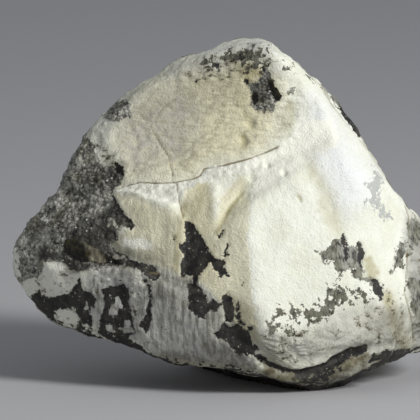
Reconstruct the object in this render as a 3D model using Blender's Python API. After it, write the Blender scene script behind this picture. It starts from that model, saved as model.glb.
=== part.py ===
"""Witherite hand specimen: one broken piece of massive cream witherite grown on dark rock.

The stone is one solid. It is put together as a mineral mass breaks: large blocks bounded by flat
fractures, a conchoidal scoop flaked off the display face, then smaller steps and weathering.
"""

import math

import bmesh
import bpy
from mathutils import Matrix, Vector, noise

MM = 0.001

# The display face looks up a little, so its points are easier to give along its own axes:
# across to the right, up the face, and out of it, in millimetres from a point on the floor under it.
FACE_TILT = math.radians(8)
ACROSS = Vector((1, 0, 0))
UP = Vector((0, math.sin(FACE_TILT), math.cos(FACE_TILT)))
OUT = Vector((0, -math.cos(FACE_TILT), math.sin(FACE_TILT)))

# Sizes of the working mesh and of the finished solid.
VOXEL = 0.55 * MM
TRIANGLES = 9400
WHITE_CREAM = (0.80, 0.77, 0.66, 1)

# Blocks between the main fractures. Each is the hull of its corners (across, up, out).
BLOCKS = {
    "body": [
        # outline along the top, left to right, and the rim inside it
        (-26.5, 34.0, -1.2), (-25.1, 38.0, -2.4), (-23.0, 41.5, -4.5), (-21.1, 44.3, -5.5), (-16.3, 47.9, -5),
        (-10.7, 51.4, -3.8), (-8.3, 52.8, -3.5), (-4.3, 54.5, -2.4), (1.3, 56.0, -1.4), (5.0, 56.0, -0.4),
        (9.3, 54.1, 1), (12.0, 51.2, 1.6), (16.8, 44.5, 1.5), (22.0, 37.5, 1), (27.0, 30.3, 2),
        (-14.5, 47.0, -0.6), (-8.0, 50.6, 1.2), (-2.0, 53.4, 2.7), (4.0, 54.6, 4.2), (9.0, 52.4, 5.2),
        # right edge of the bright face
        (26.6, 22.0, 5), (25.6, 14.0, 7), (26.1, 8.0, 7),
        # nose, the blunt upright edge nearest the eye
        (3.0, 33.0, 11.8), (2.6, 25.2, 14.4), (3.2, 14.0, 15.9),
        # where the bright face ends below, and the brow that turns under from there
        (4.8, 8.6, 15.8), (8.2, 11.0, 14.9), (12.5, 12.2, 13.4), (16.8, 14.0, 11.7), (22.0, 15.4, 9.2),
        (4.8, 5.6, 12.8), (10.9, 3.2, 8.8), (15.7, 4.8, 7.6), (22.1, 7.1, 5.6),
        # left side of the face, and the line of the crack
        (-19.2, 30.8, 4), (-19.8, 20.1, 5.5), (-7.4, 26, 9.4), (-7.3, 14, 12.0), (10.0, 38.0, 9.0),
        # worn ridge between the scoop and the bright face
        (13.4, 45.6, 5.4), (16.2, 40.2, 6.8), (18.8, 35.0, 7.8),
        # underside
        (-13.1, 7.0, 1), (-1.1, 4.0, 4), (18.9, 3.0, 4), (25.3, 4.5, 1), (-16, 12, -10),
        # back
        (-19, 41, -15), (-9, 49, -16), (7, 51, -17), (18, 41, -23), (27, 30, -26), (29, 14, -24),
        (22, 8, -21), (-4, 10, -22), (-15, 14, -15), (-21, 29, -16), (6, 32, -30), (11, 15, -30),
    ],
    "left_lobe": [
        (-35.2, 21.2, -3), (-33.9, 25.7, -4), (-29.9, 29.1, -3), (-27.4, 32.0, -3), (-34.7, 18.0, -3),
        (-33.1, 14.5, -3), (-31.0, 12.4, -3), (-28.3, 10.1, -3), (-24.5, 8.6, -1), (-20.3, 7.5, 0),
        (-28.0, 25.0, 3.5), (-30.5, 19.5, 3), (-23.0, 22.5, 5.8), (-25.0, 14.0, 4.8), (-19.5, 28.0, 5.0),
        (-18.0, 14.0, 7), (-20.6, 22.0, 7.0), (-19.6, 24.6, 6.6),
        (-32, 24, -10), (-31, 15, -10), (-26, 33, -10), (-25, 31, -13), (-24, 12, -12), (-14, 30, -16),
        (-14, 12, -14),
    ],
    "left_shoulder": [
        (-26.9, 31.2, -3), (-27.0, 34.6, -3), (-25.4, 37.6, -3.6), (-20, 32, 2.5), (-19, 27, 5),
        (-24, 38, -12), (-18, 26, -10), (-28, 31, -9), (-22, 34, -15), (-18, 30, -17),
    ],
    "middle_block": [
        (-19.2, 30.0, 5.6), (-15.0, 30.5, 7.6), (-11.5, 30.6, 9.2), (-8.6, 28.6, 10.2), (-7.6, 25.0, 11.0),
        (-7.4, 16.6, 11.8), (-13.1, 18.0, 10.0), (-17, 20.0, 8.3), (-19.8, 21.2, 7.0), (-18.2, 24.4, 7.8),
        (-14, 30, 0), (-8, 24, 2), (-14, 18, 1),
    ],
    "lower_left_block": [
        (-27.5, 19.8, 4.5), (-23.4, 18.9, 7), (-16.6, 19.4, 10.4), (-13.5, 18.6, 11.7), (-7.4, 16.2, 12.9),
        (-5.5, 11.0, 12.6), (0.0, 6.6, 13.4), (4.0, 5.5, 13.8),
        (-24.5, 10.0, 3), (-21.5, 8.2, 4), (-17.1, 8.2, 4.5), (-13.1, 5.0, 5), (-9.1, 3.7, 6),
        (-1.1, 3.1, 8), (4, 2.8, 10), (-20, 14, -2), (-5, 8, -2), (-13, 17, 4),
    ],
    "lower_lip": [
        (-1.1, 3.0, 8), (2.1, 5.5, 12.2), (5.3, 1.6, 8.6), (4.8, 4.0, 11.2), (9.3, 0.7, 8.0),
        (10.9, 1.3, 8.8), (12.5, 0.4, 7.6), (16.5, 2.6, 7.8), (18.9, 1.4, 6.0), (21.0, 5.0, 6.2),
        (25.3, 3.8, 3.4),
        (26.5, 6.5, 6), (12, 8, 2), (22, 8, -4), (4, 6, 0),
    ],
    "right_end": [
        (26.8, 30.6, 0.5), (30.1, 24.4, 0), (35.0, 17.8, -3), (37.4, 12.8, -6), (35.4, 7.4, -7),
        (30.1, 5.0, -3), (25.3, 3.8, 1), (26.3, 21.0, 4.2), (26, 10, 5.8), (30, 18, 3), (30, 10, 2.5),
        (36, 18, -17), (35, 10, -19), (30, 28, -18), (28, 8, -22), (24, 30, -24), (22, 16, -26),
        (22, 12, -4),
    ],
    "back_ridge": [
        (12.6, 50.7, -3), (15.0, 48.4, -5), (17.2, 45.9, -5), (18.7, 43.5, -4), (20.6, 40.9, -4),
        (23.0, 37.0, -4), (10, 50, -12), (17, 45, -14), (22, 36, -16), (10, 36, -6),
    ],
    "back_slab": [
        (-17, 38, -15), (-10, 45, -17), (3, 46, -21), (12, 39, -27), (9, 26, -32), (-3, 18, -29),
        (-13, 20, -22), (-19, 28, -18), (-6, 34, -12), (2, 24, -14),
    ],
}

# Foot: the level broken facet the stone stands on, as (x, y) on the floor, and the belly above it
# as (x, y, z). The finished stone is moved so that its origin is in the middle of this facet.
FOOT_CORNERS = [
    (10.0, -0.4), (5.4, 5.2), (1.4, 9.6), (-1.6, 14.6), (-6.0, 23), (2, 27), (14, 24), (18, 13),
    (16.5, 2), (13, -2.6),
]
FOOT_BELOW = -1.0
FOOT_MIDDLE = Vector((7, 12, 0)) * MM
BELLY_CORNERS = [
    (-13, 18, 9), (-12, 10, 9), (-5, 0, 8.5), (2, -6, 6), (10, -9.5, 4.2), (19, -8, 4.6), (26, 0, 6),
    (29, 12, 8), (25, 24, 9), (6, 28, 11), (-8, 24, 11), (2, 10, 16), (20, 10, 16),
]

# Shallow shell-shaped flakes lost from the upper part of the face. Each leaves part of a long egg's
# surface: its radii along, up and out, its turn to the left in degrees and its deepest place. The
# ledge under the crack, a plane through a point, ends it below.
FLAKES = {
    "scoop": ((140, 36, 43), 15.6, (0, 51.5, 2.4), (-8.3, 33.0, 4.4), (-0.34, 0.66, 0.67)),
    "shallow flake beside it": ((110, 50, 50), 0, (9, 52, 4.6), (4, 36.9, 6.4), (-0.15, 0.66, 0.73)),
}

# Furrows on the face, and a rib where the depth is negative: half width, depth, route (across, up).
FURROWS = {
    "crack along the ledge": (0.8, 0.5, [
        (-19.5, 31.3), (-13.1, 33.0), (-7.5, 33.3), (-2.7, 35.1), (2.9, 36.0), (11.7, 38.6), (14.0, 39.2)]),
    "joint beside the middle block": (1.0, 0.5, [(-7.8, 29.0), (-7.7, 22.0), (-7.5, 14.5)]),
    "slanting groove": (0.9, 0.8, [(1.6, 31.2), (-0.5, 28.6), (-2.1, 26.2)]),
    "rib beside the groove": (0.7, -0.6, [(-2.9, 32.0), (-2.7, 29.0), (-2.6, 26.4)]),
    "valley in the bright face": (2.2, 0.5, [(11.4, 36.4), (15.2, 31.4), (17.1, 25.7)]),
    "crevice under the middle block": (0.7, 0.6, [
        (-19.5, 22.6), (-17.0, 21.2), (-13.3, 20.1), (-11.0, 17.8), (-7.8, 17.2)]),
    "notch into the middle block": (0.6, 0.35, [(-18.8, 28.6), (-17.6, 26.0), (-14.6, 25.6)]),
    "crack before the right end": (0.9, 0.6, [(26.0, 30.0), (26.4, 22.0), (28.4, 15.5), (29.6, 8.0)]),
    "groove over the lower lip": (0.8, 0.7, [
        (3.5, 5.6), (6.8, 2.9), (11.0, 1.6), (15.5, 3.2), (20.0, 6.3)]),
    "fold in the scoop": (1.2, 0.3, [(-14.3, 42.0), (-11.7, 37.2), (-10.4, 33.0)]),
    "dip in the lower left face": (1.0, 0.4, [(-24.0, 17.5), (-18.4, 17.0), (-18.0, 8.0)]),
}

# Weathering in millimetres: rounded swells, each layer smaller than the last, and hollows between
# sharp edges as small flakes leave them. The sides and the back are rougher than the face.
SWELL_SIZE = 9.0
SWELL_HEIGHT = 0.4
SWELL_LAYERS = 3
SWELL_SHRINK = 0.45
FLAKE_SIZE = 6.5
FLAKE_DEPTH = 0.45
BACK_ROUGHNESS = 3.0


def on_face(across, up, out):
    """A point of the part from its place on the display face, in millimetres."""
    return (ACROSS * across + UP * up + OUT * out) * MM


def new_object(name, mesh_maker):
    """An object in the scene from a bmesh that mesh_maker returns."""
    shape = mesh_maker()
    bmesh.ops.recalc_face_normals(shape, faces=shape.faces)
    mesh = bpy.data.meshes.new(name)
    shape.to_mesh(mesh)
    shape.free()
    made = bpy.data.objects.new(name, mesh)
    bpy.context.scene.collection.objects.link(made)
    return made


def hull_of(points):
    """The closed hull of some points, as a bmesh."""
    shape = bmesh.new()
    for point in points:
        shape.verts.new(point)
    made = bmesh.ops.convex_hull(shape, input=shape.verts)
    inside = {v for v in made["geom_interior"] + made["geom_unused"] if isinstance(v, bmesh.types.BMVert)}
    bmesh.ops.delete(shape, geom=list(inside), context="VERTS")
    return shape


def foot_shape():
    """The belly of the stone, down to its foot a little below the floor."""
    foot = [Vector((x, y, FOOT_BELOW)) * MM for x, y in FOOT_CORNERS]
    return hull_of(foot + [Vector(corner) * MM for corner in BELLY_CORNERS])


def flake_shape(radii, turn, deepest, ledge_point, ledge_normal):
    """What a flake took away: a long egg, cut off level with the ledge under the crack."""
    shape = bmesh.new()
    face_axes = Matrix((ACROSS, UP, OUT)).transposed().to_4x4()
    place = Matrix.Translation(on_face(*deepest)) @ face_axes
    place @= Matrix.Rotation(math.radians(-turn), 4, "Y") @ Matrix.Translation((0, 0, radii[2] * MM))
    place @= Matrix.Diagonal((radii[0] * MM, radii[1] * MM, radii[2] * MM, 1))
    bmesh.ops.create_icosphere(shape, subdivisions=5, radius=1, matrix=place)
    cut = bmesh.ops.bisect_plane(
        shape,
        geom=shape.verts[:] + shape.edges[:] + shape.faces[:],
        plane_co=on_face(*ledge_point),
        plane_no=on_face(*ledge_normal),
        clear_inner=True,
    )
    rim = [e for e in cut["geom_cut"] if isinstance(e, bmesh.types.BMEdge)]
    bmesh.ops.holes_fill(shape, edges=rim, sides=0)
    return shape


def use_as_cutter(tool):
    """Keeps a helper shape out of renders and shows it as wire."""
    tool.hide_render = True
    tool.display_type = "WIRE"
    return tool


def combine(stone, tool, operation):
    """Adds a live Boolean with another object."""
    step = stone.modifiers.new(operation.title() + " " + tool.name, "BOOLEAN")
    step.operation = operation
    step.solver = "EXACT"
    step.object = use_as_cutter(tool)


def bake_modifiers(stone):
    """Replaces an object's mesh by what its modifiers make of it."""
    graph = bpy.context.evaluated_depsgraph_get()
    mesh = bpy.data.meshes.new_from_object(stone.evaluated_get(graph))
    stone.modifiers.clear()
    stone.data = mesh


def distance_to_route(across, up, route):
    """Shortest distance on the face from a point to a route of straight runs, in millimetres."""
    nearest = math.inf
    for (a0, u0), (a1, u1) in zip(route, route[1:]):
        run = (a1 - a0, u1 - u0)
        share = ((across - a0) * run[0] + (up - u0) * run[1]) / (run[0] ** 2 + run[1] ** 2)
        share = min(1, max(0, share))
        nearest = min(nearest, math.hypot(across - a0 - share * run[0], up - u0 - share * run[1]))
    return nearest


def furrow_depth(across, up):
    """How far the furrows and ribs lower the face at a point, in millimetres."""
    depth = 0
    for half_width, deepest, route in FURROWS.values():
        away = distance_to_route(across, up, route) / half_width
        depth += deepest * math.exp(-away * away)
    return depth


def weathering(place, roughness):
    """Height of the weathered surface over the fractures, in millimetres."""
    height = 0
    size, swell = SWELL_SIZE, SWELL_HEIGHT
    for layer in range(SWELL_LAYERS):
        height += swell * noise.noise(place / (size * MM) + Vector((layer * 7.3, 1.7, 4.1)))
        size *= SWELL_SHRINK
        swell *= SWELL_SHRINK ** 0.5
    from_flake_middle = noise.voronoi(place / (FLAKE_SIZE * MM))[0][0]
    return height + FLAKE_DEPTH * roughness * (from_flake_middle - 0.5)


def weather(stone):
    """Moves each point of the surface by the furrows and the weathering."""
    moves = []
    for vertex in stone.data.vertices:
        facing = vertex.normal.dot(OUT)
        roughness = 1 + (BACK_ROUGHNESS - 1) * min(1, max(0, 0.4 - facing))
        height = weathering(vertex.co, roughness)
        if facing > 0.1:
            height -= furrow_depth(vertex.co.dot(ACROSS) / MM, vertex.co.dot(UP) / MM)
        moves.append(vertex.co + vertex.normal * height * MM)
    for vertex, place in zip(stone.data.vertices, moves):
        vertex.co = place


def level_foot(stone):
    """Cuts the stone off flat at the floor and puts the middle of that level facet at the origin."""
    shape = bmesh.new()
    shape.from_mesh(stone.data)
    cut = bmesh.ops.bisect_plane(
        shape,
        geom=shape.verts[:] + shape.edges[:] + shape.faces[:],
        plane_co=(0, 0, 0),
        plane_no=(0, 0, 1),
        clear_inner=True,
    )
    rim = [e for e in cut["geom_cut"] if isinstance(e, bmesh.types.BMEdge)]
    bmesh.ops.holes_fill(shape, edges=rim, sides=0)
    bmesh.ops.triangulate(shape, faces=shape.faces)
    bmesh.ops.translate(shape, verts=shape.verts, vec=-FOOT_MIDDLE)
    shape.to_mesh(stone.data)
    shape.free()


def mineral(name, colour, roughness):
    """A plain dull mineral finish."""
    finish = bpy.data.materials.new(name)
    finish.use_nodes = True
    surface = finish.node_tree.nodes["Principled BSDF"]
    surface.inputs["Base Color"].default_value = colour
    surface.inputs["Roughness"].default_value = roughness
    surface.inputs["Metallic"].default_value = 0
    return finish


def build_stone():
    """The whole specimen, from blocks to weathered surface."""
    corners = {name: [on_face(*point) for point in points] for name, points in BLOCKS.items()}
    stone = new_object("witherite_stone", lambda: hull_of(corners["body"]))
    for name in list(BLOCKS)[1:]:
        block = new_object(name, lambda name=name: hull_of(corners[name]))
        combine(stone, block, "UNION")
    for name, flake in FLAKES.items():
        combine(stone, new_object(name, lambda flake=flake: flake_shape(*flake)), "DIFFERENCE")
    combine(stone, new_object("foot", foot_shape), "UNION")
    remesh = stone.modifiers.new("Even mesh", "REMESH")
    remesh.mode = "VOXEL"
    remesh.voxel_size = VOXEL
    bake_modifiers(stone)
    weather(stone)
    soften = stone.modifiers.new("Worn edges", "SMOOTH")
    soften.iterations = 2
    soften.factor = 0.5
    thin = stone.modifiers.new("Fewer faces", "DECIMATE")
    thin.ratio = TRIANGLES / (2 * len(stone.data.polygons))
    bake_modifiers(stone)
    level_foot(stone)
    stone.data.shade_smooth()
    stone.data.materials.clear()
    stone.data.materials.append(mineral("cream witherite", WHITE_CREAM, 0.7))
    return stone


for old in list(bpy.data.objects):
    bpy.data.objects.remove(old)
build_stone()
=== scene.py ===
"""Witherite hand specimen: cream mineral broken out with the dark rock that it grew on."""

import math

import bmesh
import bpy
import numpy as np
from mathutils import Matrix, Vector, noise


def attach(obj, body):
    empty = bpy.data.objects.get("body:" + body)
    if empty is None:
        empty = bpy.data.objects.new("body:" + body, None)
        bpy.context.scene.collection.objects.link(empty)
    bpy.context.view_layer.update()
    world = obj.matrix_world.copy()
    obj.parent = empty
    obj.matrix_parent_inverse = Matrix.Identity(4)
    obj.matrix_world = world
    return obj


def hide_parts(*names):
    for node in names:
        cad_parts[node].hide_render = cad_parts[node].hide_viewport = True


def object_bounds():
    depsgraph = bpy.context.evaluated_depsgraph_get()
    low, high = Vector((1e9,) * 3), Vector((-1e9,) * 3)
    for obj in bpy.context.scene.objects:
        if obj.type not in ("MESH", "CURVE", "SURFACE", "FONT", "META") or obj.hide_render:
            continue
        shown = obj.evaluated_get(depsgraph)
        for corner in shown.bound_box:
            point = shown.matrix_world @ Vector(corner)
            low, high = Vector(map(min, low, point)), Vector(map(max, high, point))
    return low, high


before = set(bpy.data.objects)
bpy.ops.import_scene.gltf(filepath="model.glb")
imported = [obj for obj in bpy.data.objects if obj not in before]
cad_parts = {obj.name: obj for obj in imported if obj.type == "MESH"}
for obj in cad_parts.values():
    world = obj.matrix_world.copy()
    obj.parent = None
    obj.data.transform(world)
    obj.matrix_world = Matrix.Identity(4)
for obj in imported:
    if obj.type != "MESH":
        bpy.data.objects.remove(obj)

cad_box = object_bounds()
scene = bpy.context.scene
MM = 0.001


# Camera. The display face is seen from a little above through a long lens, far enough off that its
# far parts look hardly smaller. Places on the face are given in this view, in mm across and up from
# a point on the floor under the face.
VIEW_TILT = math.radians(8)
VIEW_DISTANCE = 0.9
VIEW_WIDTH = 0.0672
UNDER_FACE = Vector((-7, -12, 0)) * MM
VIEW_MIDDLE = UNDER_FACE + Vector((-3.52, 0, 28.7)) * MM
SENSOR_WIDTH = 36
ACROSS = Vector((1, 0, 0))
UP = Vector((0, math.sin(VIEW_TILT), math.cos(VIEW_TILT)))
OUT = Vector((0, -math.cos(VIEW_TILT), math.sin(VIEW_TILT)))
EYE = VIEW_MIDDLE + OUT * VIEW_DISTANCE


def put(name, data, place=(0, 0, 0), aim=None):
    """A new object in the scene, turned to look at a point if one is given."""
    made = bpy.data.objects.new(name, data)
    scene.collection.objects.link(made)
    made.location = place
    if aim is not None:
        made.rotation_mode = "QUATERNION"
        made.rotation_quaternion = (Vector(aim) - made.location).to_track_quat("-Z", "Y")
    return made


lens = bpy.data.cameras.new("long lens")
lens.sensor_width = SENSOR_WIDTH
lens.lens = SENSOR_WIDTH * VIEW_DISTANCE / VIEW_WIDTH
scene.camera = put("camera", lens, EYE, VIEW_MIDDLE)


# Studio. One large soft lamp stands high on the right of the face and the room gives an even grey
# fill. The floor is plain and pale, and large enough that its edge is never in view.
LAMP_TURN = math.radians(52)
LAMP_HEIGHT = math.radians(30)
LAMP_DISTANCE = 0.8
LAMP_SIZE = 0.2
LAMP_POWER = 5.7
ROOM_GREY = (0.25, 0.255, 0.27, 1)
FLOOR_SIZE = 6.0
FLOOR_GREY = (0.50, 0.50, 0.51, 1)
FLOOR_ROUGHNESS = 0.9
scene.view_settings.view_transform = "Standard"

lamp = bpy.data.lights.new("large soft lamp", "AREA")
lamp.size = LAMP_SIZE
lamp.energy = LAMP_POWER
lamp_direction = Vector((
    math.sin(LAMP_TURN) * math.cos(LAMP_HEIGHT),
    -math.cos(LAMP_TURN) * math.cos(LAMP_HEIGHT),
    math.sin(LAMP_HEIGHT),
))
put("large soft lamp", lamp, VIEW_MIDDLE + lamp_direction * LAMP_DISTANCE, VIEW_MIDDLE)

room = bpy.data.worlds.new("grey room")
room.use_nodes = True
room.node_tree.nodes["Background"].inputs["Color"].default_value = ROOM_GREY
scene.world = room

paint = bpy.data.materials.new("pale floor")
paint.use_nodes = True
plain = paint.node_tree.nodes["Principled BSDF"].inputs
plain["Base Color"].default_value = FLOOR_GREY
plain["Roughness"].default_value = FLOOR_ROUGHNESS
sheet = bmesh.new()
bmesh.ops.create_grid(sheet, x_segments=1, y_segments=1, size=FLOOR_SIZE / 2)
floor_mesh = bpy.data.meshes.new("pale floor")
sheet.to_mesh(floor_mesh)
sheet.free()
floor_mesh.materials.append(paint)
put("pale floor", floor_mesh)


# The stone. One broken lump of massive witherite, chalky where it has weathered, with patches of
# the dark rock still on it and a sugary crust of small crystals over its left end. Its form is the
# solid's own, meshed finely and then cracked, pitted and grained.
FINE = 0.57 * MM
MERGE = 0.01 * MM
SMOOTHINGS = 2
# How far a surface leans towards the viewer, from -1 to 1, to be meshed twice as fine, and while the
# marks of the display face give way to those of the back.
EDGE_ON = 0.12
TURNING_AWAY = (-0.05, 0.2)


def fine_copy(node):
    """An even fine mesh of a CAD node, its flats rounded off, twice as fine where the face is seen."""
    shape = bmesh.new()
    shape.from_mesh(node.data)
    bmesh.ops.remove_doubles(shape, verts=shape.verts, dist=MERGE)
    mesh = bpy.data.meshes.new("working mesh")
    shape.to_mesh(mesh)
    working = put("working stone", mesh)
    rounded = working.modifiers.new("Rounded flats", "SUBSURF")
    rounded.levels = rounded.render_levels = 1
    even = working.modifiers.new("Even mesh", "REMESH")
    even.mode = "VOXEL"
    even.voxel_size = FINE
    graph = bpy.context.evaluated_depsgraph_get()
    shape.clear()
    shape.from_mesh(working.evaluated_get(graph).to_mesh())
    bpy.data.objects.remove(working)
    shape.normal_update()
    seen = [face for face in shape.faces if face.normal.dot(OUT) > EDGE_ON]
    edges = {edge for face in seen for edge in face.edges}
    bmesh.ops.subdivide_edges(shape, edges=list(edges), cuts=1, use_grid_fill=True)
    for _ in range(SMOOTHINGS):
        bmesh.ops.smooth_vert(
            shape, verts=shape.verts, factor=0.5, use_axis_x=True, use_axis_y=True, use_axis_z=True)
    finished = bpy.data.meshes.new("witherite_on_rock")
    shape.to_mesh(finished)
    shape.free()
    return finished


mesh = fine_copy(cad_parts["witherite_stone"])
place = np.empty(len(mesh.vertices) * 3)
mesh.vertices.foreach_get("co", place)
place = place.reshape(-1, 3)
normal = np.empty(len(mesh.vertices) * 3)
mesh.vertex_normals.foreach_get("vector", normal)
normal = normal.reshape(-1, 3)


def smooth_step(low, high, value):
    """0 below low, 1 above high and a smooth rise between them."""
    share = np.clip((value - low) / (high - low), 0, 1)
    return share * share * (3 - 2 * share)


def places_on_face(points):
    """Where points of the stone show on the display face: mm across and up it."""
    sight = points - np.array(EYE)
    scale = VIEW_DISTANCE / -(sight @ np.array(OUT))
    middle = VIEW_MIDDLE - UNDER_FACE
    across = middle.dot(ACROSS) + scale * (sight @ np.array(ACROSS))
    up = middle.dot(UP) + scale * (sight @ np.array(UP))
    return across / MM, up / MM


across, up = places_on_face(place)
facing = normal @ np.array(OUT)
seen = smooth_step(*TURNING_AWAY, facing)
in_mm = (place - np.array(UNDER_FACE)) / MM


def swells(size, stretch=(1, 1, 1), shift=0.0):
    """Smooth noise at each point of the stone, from about -1 to 1, with swells of a size in mm."""
    scaled = in_mm / (np.array(stretch) * size) + shift
    return np.array([noise.noise(point) for point in scaled.tolist()])


def layered(sizes, shift):
    """Swells of several sizes and heights added up."""
    return sum(height * swells(size, shift=shift * size) for size, height in sizes)


def from_grain(size):
    """How far each point is from the middle of the nearest grain, as a share of a grain's size."""
    return np.array([noise.voronoi(point)[0][0] for point in (in_mm / size).tolist()])


def grains(sizes, rim):
    """Grains of several sizes and heights added up, each highest in its middle and 0 at its rim."""
    return sum(height * (rim - from_grain(size)) for size, height in sizes)


def from_run(start, end):
    """Distance in mm on the face from each point of the stone to a straight run."""
    run = (end[0] - start[0], end[1] - start[1])
    share = (across - start[0]) * run[0] + (up - start[1]) * run[1]
    share = np.clip(share / (run[0] ** 2 + run[1] ** 2), 0, 1)
    return np.hypot(across - start[0] - share * run[0], up - start[1] - share * run[1])


def from_route(route):
    """Distance in mm on the face from each point to a route of straight runs."""
    return np.min([from_run(start, end) for start, end in zip(route, route[1:])], axis=0)


def along(route, half_width):
    """1 on a route over the face, falling off smoothly to both sides of it."""
    return np.exp(-(from_route(route) / half_width) ** 2)


def from_outline(corners):
    """Distance in mm on the face from each point to a closed outline, negative inside it."""
    inside = np.zeros(len(across), bool)
    ends = corners[1:] + corners[:1]
    for start, end in zip(corners, ends):
        if start[1] != end[1]:
            crossing = start[0] + (up - start[1]) * (end[0] - start[0]) / (end[1] - start[1])
            inside ^= ((start[1] > up) != (end[1] > up)) & (across < crossing)
    edge = np.min([from_run(start, end) for start, end in zip(corners, ends)], axis=0)
    return np.where(inside, -edge, edge)


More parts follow.
